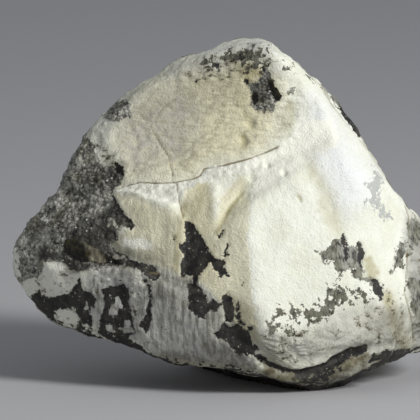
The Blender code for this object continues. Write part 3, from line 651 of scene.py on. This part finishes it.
ROUTES = {
    "valley": ("tan", 0.55, 1.1, [
        (9.4, 44.7), (9.6, 42.2), (10.9, 38), (13.8, 33.2), (15.2, 30.8), (16.3, 28.1), (17.1, 25.5)]),
    "right of the brow": ("tan", 1.0, 1.2, RIGHT_OF_THE_BROW),
    "dirt right of the brow": ("dirt", 0.6, 1.2, RIGHT_OF_THE_BROW),
    "under the crown": ("tan", 0.5, 0.9, [(1.3, 47.3), (1.8, 44.4), (3.2, 41.9)]),
    "beside the middle block": ("tan", 0.5, 0.8, [(-5.1, 32.9), (-5.1, 30), (-5.8, 27.8)]),
    "slanting groove": ("tan", 1.0, 0.4, [(1.5, 31), (-0.1, 28.9), (-1.6, 26.6), (-2.4, 24.8)]),
    "marks over the nose": ("tan", 0.6, 0.35, [(3.6, 34.4), (3.2, 32.2)]),
    "mark of the pit": ("tan", 0.6, 0.4, [(7.9, 35), (8.6, 34)]),
    "mark on the right face": ("tan", 1.0, 0.25, [(10.6, 30.8), (11.1, 29.9)]),
    "oval pit": ("tan", 1.0, 0.7, [(1.7, 40.2), (2, 38.8)]),
    "under the crown spots": ("dirt", 0.6, 0.8, [(-2.9, 51), (-3.2, 48), (-3, 46.6)]),
    "along the left of the middle patch": ("tan", 0.8, 0.7, [(-7.6, 29), (-8.6, 24), (-9, 18.4)]),
}

# The first nine kinds colour the witherite; the whitening among them also paints light and the
# darkening also paints shade. The painted sheen is for the clear crystals, and rough and crushed
# change the surface itself. Off the face each has an even strength that drifts a little.
WITHERITE_STAINS = ("beige", "tan", "grey", "cool", "clean", "streaks", "fibres", "dirt", "stain_and_painted_shade")
COLOURING = WITHERITE_STAINS + ("painted_sheen",)
STAINS = COLOURING + ("rough", "crushed")
UNSEEN_STAINS = {
    "beige": 0.4, "tan": 0.3, "grey": 0.4, "fibres": 0.3, "dirt": 0.5, "stain_and_painted_shade": 0.3, "rough": 1.6}
STAIN_RAGS = 2.2

stain = {kind: np.zeros(len(across)) for kind in STAINS}
for kind, areas in AREAS.items():
    for strength, softness, corners in areas.values():
        edge = smooth_step(-softness, softness, STAIN_RAGS * ragged - from_outline(corners))
        stain[kind] = np.maximum(stain[kind], strength * edge)
for kind, strength, half_width, route in ROUTES.values():
    stain[kind] = np.maximum(stain[kind], strength * along(route, half_width))
drift = 0.6 + 0.8 * swells(6, shift=2.2)
for kind in STAINS:
    stain[kind] = seen * stain[kind] + (1 - seen) * UNSEEN_STAINS.get(kind, 0) * drift
stain["beige"] *= 1 - stain["clean"]
stain["tan"] *= 1 - stain["clean"]


# Cracks as routes with their half width and depth, then edges and grooves in the same way, then the
# places where the outline is drawn in or pushed out. A depth less than zero stands out.
CRACKS = {
    "over the ledge": (0.16, 0.3, [
        (-18.2, 31.6), (-17.4, 32.1), (-14.6, 32.8), (-11.8, 32.7), (-9.1, 32.8), (-6.1, 33.4), (-5, 33.9),
        (-4.5, 35), (-2.7, 35.2), (-0.3, 35.8), (2.7, 36.6), (5.6, 37.7), (7.4, 38.5)]),
    "down to the middle patch": (0.2, 0.25, [(-8.8, 32.6), (-8.4, 29.9), (-7.8, 27)]),
    "long one in the scoop": (0.2, 0.2, [
        (-14.8, 43.8), (-13.1, 41.9), (-11.8, 39.5), (-10.1, 36.9), (-9.5, 33.9)]),
    "short one in the scoop": (0.2, 0.18, [(-13.1, 41.9), (-11, 44.8), (-9, 46.2)]),
    "right of the middle block": (0.2, 0.2, [(-7.5, 17.6), (-9.6, 17.9), (-13, 18.4)]),
    "before the right end": (0.18, 0.2, [
        (27.4, 30.2), (28.3, 27.6), (28.4, 24.1), (28, 20.4), (27.9, 17.9), (27.7, 15.1), (28.7, 11.3),
        (29.1, 7.3)]),
    "across the brow": (0.2, 0.15, [(14, 8), (16.5, 7.6), (18, 8.4), (20.5, 8.3)]),
}
FURROWS = {
    "edge of the middle block": (0.55, -0.28, [
        (-18.8, 31.3), (-15.7, 30.9), (-13.6, 29.9), (-11.4, 29.2), (-9.5, 28.8), (-8.4, 27.9),
        (-7.8, 26.5)]),
    "slanting groove": (0.35, 0.2, [(1.4, 31.1), (-0.5, 28.9), (-1.8, 26)]),
    "edge of the lower left face": (0.4, -0.25, [(-16.6, 19.4), (-13.5, 18.6), (-7.4, 17.2)]),
    "groove over the lip": (0.5, 0.5, [(4.8, 4.4), (8.3, 2.7), (10.8, 2.2), (15, 3.4), (19, 6)]),
}
NUDGES = {
    "top of the crown": (2.0, -0.5, [(1.5, 56.6), (4.2, 56.6)]),
    "right of the crown": (1.6, 0.6, [(8.7, 54.6), (9.9, 53.6), (11.4, 52), (12.2, 51)]),
    "left end": (2.2, -0.5, [(-35, 23), (-35.2, 17.5)]),
}
LEDGE_STEP = 0.2
PIT_DEPTH = 0.4
PITS = [
    (8.3, 34.4, 0.5), (1.9, 39.5, 0.7), (3.2, 33.5, 0.6), (5.7, 35.5, 0.4), (10.8, 30.2, 0.3),
    (2.9, 42.3, 0.8), (-9.4, 24, 0.25)]
GRAIN = [(1.5, 0.06), (0.8, 0.07), (0.45, 0.05)]
ROUGH_BREAKS = [(4, 0.55), (1.7, 0.28), (0.8, 0.12)]
CRUSHED_GRAINS = [(1.1, 0.28), (0.55, 0.22)]
WRINKLE_HEIGHT = 0.11
WRINKLE_SPACING = 0.65
WRINKLE_SLOPE = 0.45
WRINKLES = [(4.6, 8.8), (7.6, 10.6), (10.5, 9), (12.5, 5.2), (10, 3.4), (6.5, 4.2), (4.8, 6)]
STREAK_HEIGHT = 0.14
FIBRE_HEIGHT = 0.12
ROCK_DEPTH = 0.14
FILM_DEPTH = 0.06
BACK_LUMPS = [(4.5, 0.45), (1.9, 0.25)]
CRYSTAL_SIZES = [(1.1, 0.38), (0.6, 0.2)]
OVER_SIDES = 0.4 * MM
OVER_TOP = 0.6 * MM
FOOT_FACING = -0.9
FOOT_HEIGHT = 0.4 * MM

crack = np.zeros(len(across))
for half_width, depth, route in CRACKS.values():
    crack = np.maximum(crack, depth * along(route, half_width))
crack *= seen * (0.8 + 0.5 * swells(2.5, shift=7.7))
furrow = -crack
for half_width, depth, route in FURROWS.values():
    furrow -= depth * along(route, half_width)
for pit_across, pit_up, radius in PITS:
    away = np.hypot(across - pit_across, up - pit_up) / radius
    furrow -= PIT_DEPTH * np.exp(-away ** 4)
furrow += LEDGE_STEP * smooth_step(-0.5, 0.1, -from_outline(LEDGE))
slanted = (up + WRINKLE_SLOPE * across) / WRINKLE_SPACING + 1.8 * swells(2.4, shift=9.3)
wrinkled = smooth_step(-0.8, 0.8, -from_outline(WRINKLES))
furrow += WRINKLE_HEIGHT * wrinkled * np.sin(2 * math.pi * slanted)
furrow *= seen

on_crust = smooth_step(-0.2, 0.4, -cover["crust"])
on_rock = smooth_step(-0.1, 0.1, -cover["rock"]) * (1 - on_crust)
on_film = smooth_step(-0.1, 0.1, -cover["film"]) * (1 - on_crust)
grain = layered(GRAIN, 2)
breaks = -stain["rough"] * grains(ROUGH_BREAKS, 0.38)
crushed = stain["crushed"] * grains(CRUSHED_GRAINS, 0.4)
lumps = layered(BACK_LUMPS, 3)
crystals = grains(CRYSTAL_SIZES, 0.5)
streak = STREAK_HEIGHT * stain["streaks"] * swells(0.55, stretch=(4, 1, 1), shift=6.1)
fibre = FIBRE_HEIGHT * stain["fibres"] * swells(0.5, stretch=(1, 1, 8), shift=4.7)
relief = grain + breaks + crushed + streak + fibre + on_crust * crystals
relief -= ROCK_DEPTH * on_rock + FILM_DEPTH * on_film
height = furrow + relief + (1 - seen) * lumps
for half_width, depth, route in NUDGES.values():
    height -= depth * along(route, half_width)

lowest = np.array(cad_box[0]) - (OVER_SIDES, OVER_SIDES, 0)
highest = np.array(cad_box[1]) + (OVER_SIDES, OVER_SIDES, OVER_TOP)
foot = (normal[:, 2] < FOOT_FACING) & (place[:, 2] < FOOT_HEIGHT)
moved = np.clip(place + normal * height[:, None] * MM, lowest, highest)
moved[foot, 2] = 0
mesh.vertices.foreach_set("co", moved.ravel())
mesh.shade_smooth()
corners_of_faces = [list(face.vertices) for face in mesh.polygons]
crusted = [on_crust[corners].mean() > 0.5 for corners in corners_of_faces]
mesh.polygons.foreach_set("use_smooth", [not flat for flat in crusted])
marks = {"to_" + kind: distance for kind, distance in cover.items()}
marks |= {kind: stain[kind] for kind in COLOURING}
marks |= {"crack": crack, "relief": relief}
for name, values in marks.items():
    mesh.attributes.new(name, "FLOAT", "POINT").data.foreach_set("value", values.astype(np.float32))
mesh.update()
stone = put("witherite_on_rock", mesh)


# Finishes of the stone, from the chalky witherite to the clear crystals. Each is a node group that
# puts out a colour, a roughness and a height, and stands under its screen colours from 0 to 255.
MIX_SOCKETS = {"FLOAT": (2, 3, 0), "RGBA": (6, 7, 2)}
PER_MM = 1000.0


def from_screen(colour):
    """A colour for a shader from its 0 to 255 screen values."""
    return tuple((value / 255) ** 2.2 for value in colour) + (1,)


def add(tree, kind, inputs=None, **settings):
    """A shader node with its settings, and inputs that are values or other nodes' outputs."""
    made = tree.nodes.new("ShaderNode" + kind)
    for name, value in settings.items():
        setattr(made, name, value)
    for name, value in (inputs or {}).items():
        if isinstance(value, bpy.types.NodeSocket):
            tree.links.new(value, made.inputs[name])
        else:
            made.inputs[name].default_value = value
    return made


def mix(tree, share, first, second, data_type="RGBA"):
    """The output of a Mix node between two colours or two values."""
    first_at, second_at, result_at = MIX_SOCKETS[data_type]
    made = add(tree, "Mix", {0: share, first_at: first, second_at: second}, data_type=data_type)
    return made.outputs[result_at]


def tint(tree, share, colour, screen_colour):
    """A colour mixed with a screen colour by a share."""
    return mix(tree, share, colour, from_screen(screen_colour))


def spread(tree, value, low, high, to_low=0.0, to_high=1.0):
    """A value taken smoothly from one range to another, and held at its ends."""
    inputs = {"Value": value, "From Min": low, "From Max": high, "To Min": to_low, "To Max": to_high}
    return add(tree, "MapRange", inputs, interpolation_type="SMOOTHSTEP").outputs["Result"]


def cells_of(tree, sizes):
    """Places on the stone counted in cells of a width, depth and height in mm."""
    where = add(tree, "TexCoord").outputs["Object"]
    scale = [PER_MM / size for size in sizes]
    return add(tree, "Mapping", {"Vector": where, "Scale": scale}).outputs["Vector"]


def clouds(tree, size, stretch=(1, 1, 1), detail=2.0, roughness=0.6):
    """Noise over the stone with clouds of a size in mm, drawn out by stretch."""
    where = cells_of(tree, [size * factor for factor in stretch])
    inputs = {"Vector": where, "Scale": 1.0, "Detail": detail, "Roughness": roughness}
    return add(tree, "TexNoise", inputs).outputs["Fac"]


def calculate(tree, operation, *values):
    """The output of a Math node."""
    return add(tree, "Math", dict(enumerate(values)), operation=operation).outputs[0]


def new_group(name, inputs, outputs):
    """An empty shader node group, with its input and output nodes."""
    group = bpy.data.node_groups.new(name, "ShaderNodeTree")
    for socket, kind in inputs.items():
        group.interface.new_socket(socket, in_out="INPUT", socket_type="NodeSocket" + kind)
    for socket, kind in outputs.items():
        group.interface.new_socket(socket, in_out="OUTPUT", socket_type="NodeSocket" + kind)
    return group, group.nodes.new("NodeGroupInput").outputs, group.nodes.new("NodeGroupOutput").inputs


def put_out(tree, sockets, **values):
    """A group once its results are linked to its outputs."""
    for name, value in values.items():
        tree.links.new(value, sockets[name])
    return tree


FINISH = {"Color": "Color", "Roughness": "Float", "Height": "Float"}
RAGGEDNESS = {
    "film": 2.8, "dust": 5.0, "flecks": 8.0, "rock": 1.7, "specks": 8.0, "crust": 2.0, "glass": 1.2,
    "bare": 2.2}
BROKEN = ("flecks", "specks")


def ragged_edge(name, hole_size, roughness):
    """A mask from the distance to a cover's edge, eaten into by holes finer than the mesh can show."""
    given = {"Distance": "Float", "Raggedness": "Float"}
    tree, given, result = new_group(name, given, {"Mask": "Float"})
    bites = calculate(tree, "SUBTRACT", clouds(tree, hole_size, detail=4, roughness=roughness), 0.45)
    distance = calculate(tree, "MULTIPLY_ADD", bites, given["Raggedness"], given["Distance"])
    return put_out(tree, result, Mask=spread(tree, distance, -0.05, 0.05, 1.0, 0.0))


WITHERITE = {
    "cream": (243, 245, 231), "warm cream": (236, 237, 218), "cool white": (240, 242, 248),
    "clean": (250, 249, 234), "beige": (236, 228, 188), "tan": (176, 168, 126), "grey": (176, 175, 171),
    "streaks": (176, 170, 138), "fibres": (104, 103, 98), "sugar": (196, 193, 174),
    "painted_hollow_shade": (150, 144, 116), "dirt": (128, 122, 98), "crumbs": (58, 55, 46), "stain_and_painted_shade": (92, 86, 68)}


def chalky_witherite():
    """Massive witherite: cream and chalky, streaked or fibrous in places, stained, with painted shade
    where it lies low.
    """
    stains = {name.title(): "Float" for name in WITHERITE_STAINS} | {"Relief": "Float"}
    tree, given, result = new_group("chalky witherite", stains, FINISH)

    def times(first, second):
        return calculate(tree, "MULTIPLY", first, second)

    mottle = spread(tree, clouds(tree, 1.6, detail=4), 0.35, 0.7, 0.65, 1.0)
    streak = clouds(tree, 0.5, stretch=(4.5, 1.5, 1), detail=3)
    fibre = clouds(tree, 0.55, stretch=(1, 1.5, 9), detail=4)
    sugar = clouds(tree, 0.32, detail=3, roughness=0.7)
    crumbs = clouds(tree, 1.0, stretch=(1.7, 1.3, 1), detail=5, roughness=0.7)
    crumbs = calculate(tree, "MULTIPLY_ADD", given["Dirt"], 0.34, crumbs)
    has_dirt = spread(tree, given["Dirt"], 0.0, 0.1)
    clean = calculate(tree, "ADD", given["Clean"], clouds(tree, 0.7, detail=5, roughness=0.7))
    colour = mix(tree, spread(tree, clouds(tree, 5), 0.35, 0.65), from_screen(WITHERITE["cream"]),
                 from_screen(WITHERITE["warm cream"]))
    tints = {
        "cool white": given["Cool"],
        "beige": times(given["Beige"], spread(tree, sugar, 0.3, 0.6, 1.0, 0.7)),
        "tan": times(given["Tan"], mottle),
        "grey": times(given["Grey"], mottle),
        "streaks": times(given["Streaks"], spread(tree, streak, 0.45, 0.68, 0.0, 0.45)),
        "fibres": times(given["Fibres"], spread(tree, fibre, 0.42, 0.62, 0.0, 0.6)),
        "sugar": spread(tree, sugar, 0.52, 0.8, 0.0, 0.4),
        # Painted shade where the relief lies low.
        "painted_hollow_shade": spread(tree, given["Relief"], -0.34, -0.04, 0.5, 0.0),
        # Whitening: clean witherite, and painted light.
        "clean": spread(tree, clean, 0.86, 1.1),
        "dirt": times(spread(tree, crumbs, 0.66, 0.82), has_dirt),
        "crumbs": times(spread(tree, crumbs, 0.74, 0.84), has_dirt),
        # Dark stain and painted shade.
        "stain_and_painted_shade": times(given["Stain_And_Painted_Shade"], mottle),
    }
    for name, share in tints.items():
        colour = tint(tree, share, colour, WITHERITE[name])
    height = calculate(tree, "MULTIPLY_ADD", streak, given["Streaks"], sugar)
    height = calculate(tree, "MULTIPLY_ADD", fibre, given["Fibres"], height)
    roughness = spread(tree, sugar, 0.3, 0.7, 0.5, 0.85)
    return put_out(tree, result, Color=colour, Height=height, Roughness=roughness)


ROCK = {"dark": (34, 33, 33), "light": (72, 70, 63), "grains": (168, 164, 150)}


def dark_rock():
    """The black rock: dense and dull, with a few pale grains in it."""
    tree, given, result = new_group("dark rock", {}, FINISH)
    tone = clouds(tree, 1.8, detail=5, roughness=0.65)
    colour = tint(tree, spread(tree, tone, 0.35, 0.7), from_screen(ROCK["dark"]), ROCK["light"])
    fleck = spread(tree, clouds(tree, 0.45, detail=1), 0.68, 0.76)
    colour = tint(tree, fleck, colour, ROCK["grains"])
    fine = clouds(tree, 0.6, detail=5, roughness=0.7)
    roughness = spread(tree, tone, 0.3, 0.7, 0.42, 0.68)
    return put_out(tree, result, Color=colour, Height=fine, Roughness=roughness)


FILM = {
    "grey": (124, 123, 106), "light grey": (156, 156, 146), "olive": (88, 86, 66), "lines": (58, 57, 51),
    "pale": (192, 194, 189)}


def grey_film():
    """Thin grey rock on the witherite, drawn out in fine lines where the pieces slid apart."""
    tree, given, result = new_group("grey film", {"Olive": "Float", "Pale": "Float"}, FINISH)
    lines = clouds(tree, 0.5, stretch=(1.2, 1.5, 3), detail=4, roughness=0.7)
    tone = spread(tree, clouds(tree, 3), 0.35, 0.65)
    colour = tint(tree, tone, from_screen(FILM["grey"]), FILM["light grey"])
    colour = tint(tree, given["Olive"], colour, FILM["olive"])
    colour = tint(tree, spread(tree, lines, 0.41, 0.68), colour, FILM["lines"])
    colour = tint(tree, given["Pale"], colour, FILM["pale"])
    roughness = spread(tree, lines, 0.3, 0.7, 0.5, 0.75)
    return put_out(tree, result, Color=colour, Height=lines, Roughness=roughness)


CRYSTAL = (0.6, 0.6, 0.4)
CRUST = {
    "grey": (66, 65, 59), "light grey": (204, 203, 190), "brown": (96, 90, 64), "stain_and_painted_shade": (52, 50, 46),
    "painted_gap_shade": (36, 35, 33), "bright": (222, 222, 214)}


def sugary_crust():
    """Small grey and brown crystals grown close together, with painted glints on a few and painted shade
    between them.
    """
    tree, given, result = new_group("sugary crust", {"Relief": "Float", "Stain_And_Painted_Shade": "Float"}, FINISH)
    cells = add(tree, "TexVoronoi", {"Vector": cells_of(tree, CRYSTAL), "Scale": 1.0})
    tone = add(tree, "SeparateColor", {"Color": cells.outputs["Color"]}).outputs
    small = clouds(tree, 0.5, (1.4, 1.4, 1), detail=4, roughness=0.75)
    light = calculate(tree, "MULTIPLY_ADD", tone["Red"], 0.3, small)
    light = calculate(tree, "ADD", light, clouds(tree, 3.5, detail=4))
    light = spread(tree, light, 0.85, 1.4)
    colour = tint(tree, light, from_screen(CRUST["grey"]), CRUST["light grey"])
    brown = spread(tree, clouds(tree, 4.0, detail=3), 0.5, 0.62, 0.0, 0.5)
    colour = tint(tree, brown, colour, CRUST["brown"])
    # Dark stain and painted shade over the crust.
    colour = tint(tree, given["Stain_And_Painted_Shade"], colour, CRUST["stain_and_painted_shade"])
    # Painted shade between the crystals, where the relief lies low.
    low = spread(tree, given["Relief"], -0.25, 0.02, 0.6, 0.0)
    colour = tint(tree, low, colour, CRUST["painted_gap_shade"])
    # Painted glints: a near-white spot in the middle of a few crystals.
    bright = calculate(tree, "MULTIPLY", spread(tree, tone["Blue"], 0.93, 0.96),
                       spread(tree, cells.outputs["Distance"], 0.2, 0.4, 1.0, 0.0))
    colour = tint(tree, bright, colour, CRUST["bright"])
    height = calculate(tree, "MULTIPLY_ADD", cells.outputs["Distance"], -1.2, small)
    roughness = spread(tree, tone["Green"], 0, 1, 0.2, 0.6)
    return put_out(tree, result, Color=colour, Height=height, Roughness=roughness)


GLASS = {"dark": (26, 25, 22), "brown": (66, 60, 42), "painted_sheen": (116, 111, 94)}


def dark_glass():
    """Larger clear crystal faces with the dark rock showing through, brownish where they are thick."""
    tree, given, result = new_group("dark glass", {"Painted_Sheen": "Float"}, FINISH)
    tone = clouds(tree, 2.0, detail=3)
    colour = tint(tree, spread(tree, tone, 0.45, 0.7), from_screen(GLASS["dark"]), GLASS["brown"])
    # Painted sheen on the crystal face.
    colour = tint(tree, given["Painted_Sheen"], colour, GLASS["painted_sheen"])
    scratches = clouds(tree, 0.7, stretch=(4, 4, 1), detail=3)
    height = calculate(tree, "MULTIPLY", scratches, 0.5)
    roughness = spread(tree, scratches, 0.3, 0.7, 0.15, 0.4)
    return put_out(tree, result, Color=colour, Height=height, Roughness=roughness)


def lay_over(tree, under, over, mask):
    """One finish over another where the mask is 1: colours, roughnesses and heights mixed."""
    return {
        name: mix(tree, mask, under[name], over[name], "RGBA" if name == "Color" else "FLOAT")
        for name in FINISH
    }


CRACK_BROWN = (112, 98, 66)
BUMP_HEIGHT = 0.25 * MM
BUMP_STRENGTH = 0.9
GLOSS = 0.35


def stone_material():
    """The whole stone's finish, from the witherite up through what covers it."""
    material = bpy.data.materials.new("witherite and its rock")
    material.use_nodes = True
    tree = material.node_tree
    surface = tree.nodes["Principled BSDF"]

    def mark(name):
        return add(tree, "Attribute", attribute_name=name).outputs["Fac"]

    def finish(group, inputs=None):
        return add(tree, "Group", inputs, node_tree=group).outputs

    relief = mark("relief")
    whole = ragged_edge("ragged edge", 0.8, 0.7)
    broken = ragged_edge("broken up", 1.1, 0.66)
    witherite, film, rock = chalky_witherite(), grey_film(), dark_rock()
    bare = finish(witherite, {name.title(): mark(name) for name in WITHERITE_STAINS} | {"Relief": relief})
    covers = {
        "film": finish(film),
        "dust": finish(film, {"Pale": 0.85}),
        "flecks": finish(film, {"Olive": 0.6}),
        "rock": finish(rock),
        "specks": finish(rock),
        "crust": finish(sugary_crust(), {"Relief": relief, "Stain_And_Painted_Shade": mark("stain_and_painted_shade")}),
        "glass": finish(dark_glass(), {"Painted_Sheen": mark("painted_sheen")}),
        "bare": bare,
    }
    top = bare
    for kind, over in covers.items():
        edge = broken if kind in BROKEN else whole
        mask = finish(edge, {"Distance": mark("to_" + kind), "Raggedness": RAGGEDNESS[kind]})["Mask"]
        top = lay_over(tree, top, over, mask)
    crack = spread(tree, mark("crack"), 0.05, 0.2, 0.0, 0.75)
    colour = tint(tree, crack, top["Color"], CRACK_BROWN)
    grooves = {"Height": top["Height"], "Distance": BUMP_HEIGHT, "Strength": BUMP_STRENGTH}
    bump = add(tree, "Bump", grooves)
    tree.links.new(colour, surface.inputs["Base Color"])
    tree.links.new(top["Roughness"], surface.inputs["Roughness"])
    tree.links.new(bump.outputs["Normal"], surface.inputs["Normal"])
    surface.inputs["Specular IOR Level"].default_value = GLOSS
    return material


mesh.materials.append(stone_material())
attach(stone, "root")
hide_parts("witherite_stone")
